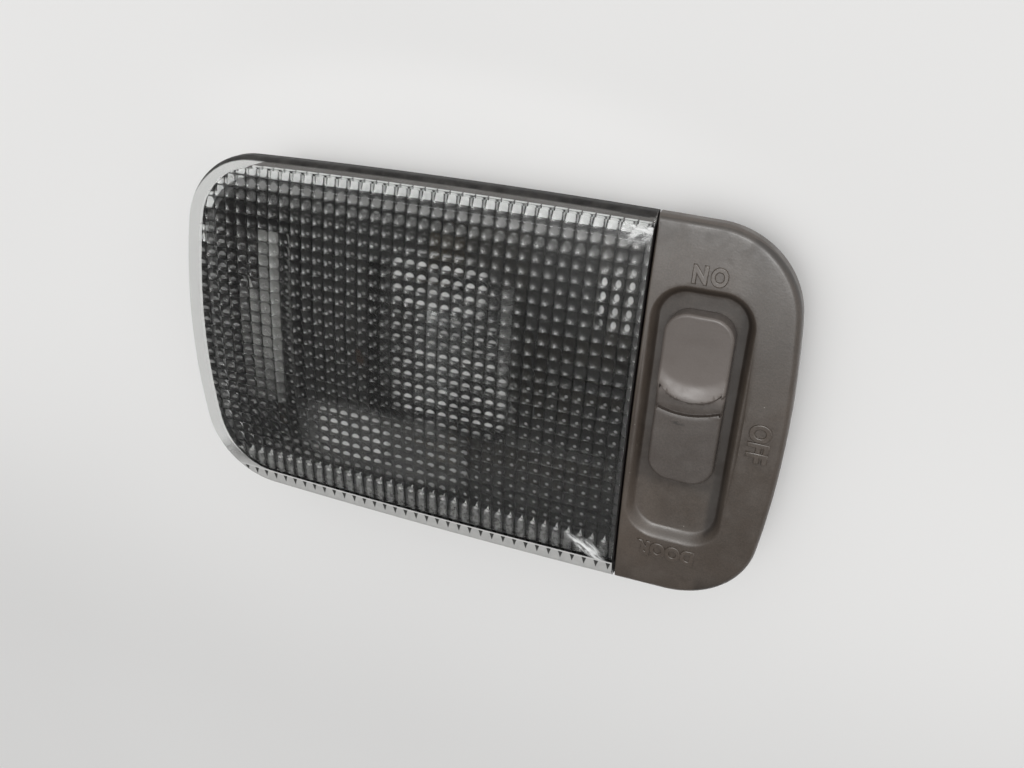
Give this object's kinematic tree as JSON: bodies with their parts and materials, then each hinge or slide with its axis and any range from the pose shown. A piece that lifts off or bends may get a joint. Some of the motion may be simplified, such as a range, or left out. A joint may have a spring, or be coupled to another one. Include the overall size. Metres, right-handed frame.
{
  "type": "interior lamp",
  "caption": "Car rear seat dome lamp: clear prismatic lens over a tray with a festoon bulb, and a moulded end piece with a three-position slide switch marked ON, OFF and DOOR",
  "frame": {"origin": "centre of the footprint, on the plane the part's back rests on", "axes": "+X along the length towards the switch end, +Y across towards the ON end of the switch, +Z out of the face"},
  "size_m": [0.1188, 0.072, 0.024],
  "materials": {
    "bezel_plastic": "satin grained grey-brown",
    "clear_lens": "clear moulded plastic with inner prisms",
    "knob_plastic": "satin grey-brown",
    "carrier_plastic": "natural white",
    "contact_bronze": "bronze sheet",
    "ball_steel": "polished",
    "spring_steel": "bright drawn",
    "base_plastic": "black",
    "screw_steel": "zinc plated",
    "strip_brass": "tin flashed",
    "holder_bronze": "spring bronze",
    "reflector_steel": "bright plated",
    "bulb_glass": "clear",
    "bulb_cap": "nickel plated",
    "filament": "drawn wire"
  },
  "bodies": {
    "lamp_body": {"housing": "bezel_plastic", "lens": "clear_lens", "switch_base": "base_plastic", "base_screws": "screw_steel", "feed_strip": "strip_brass", "lamp_strip": "strip_brass", "ground_strip": "strip_brass", "door_strip": "strip_brass", "bulb_holder_feed": "holder_bronze", "bulb_holder_lamp": "holder_bronze", "holder_rivets": "strip_brass", "reflector": "reflector_steel", "bulb_glass": "bulb_glass", "bulb_cap_feed": "bulb_cap", "bulb_cap_lamp": "bulb_cap", "bulb_filament": "filament"},
    "slider": {"switch_knob": "knob_plastic", "slider_carrier": "carrier_plastic", "moving_contact": "contact_bronze", "detent_ball": "ball_steel", "detent_spring": "spring_steel"}
  },
  "joints": [
    {"name": "switch_slide", "type": "slide", "parent": "lamp_body", "child": "slider", "axis": [0, -1, 0], "range_m": [0, 0.009]}
  ]
}
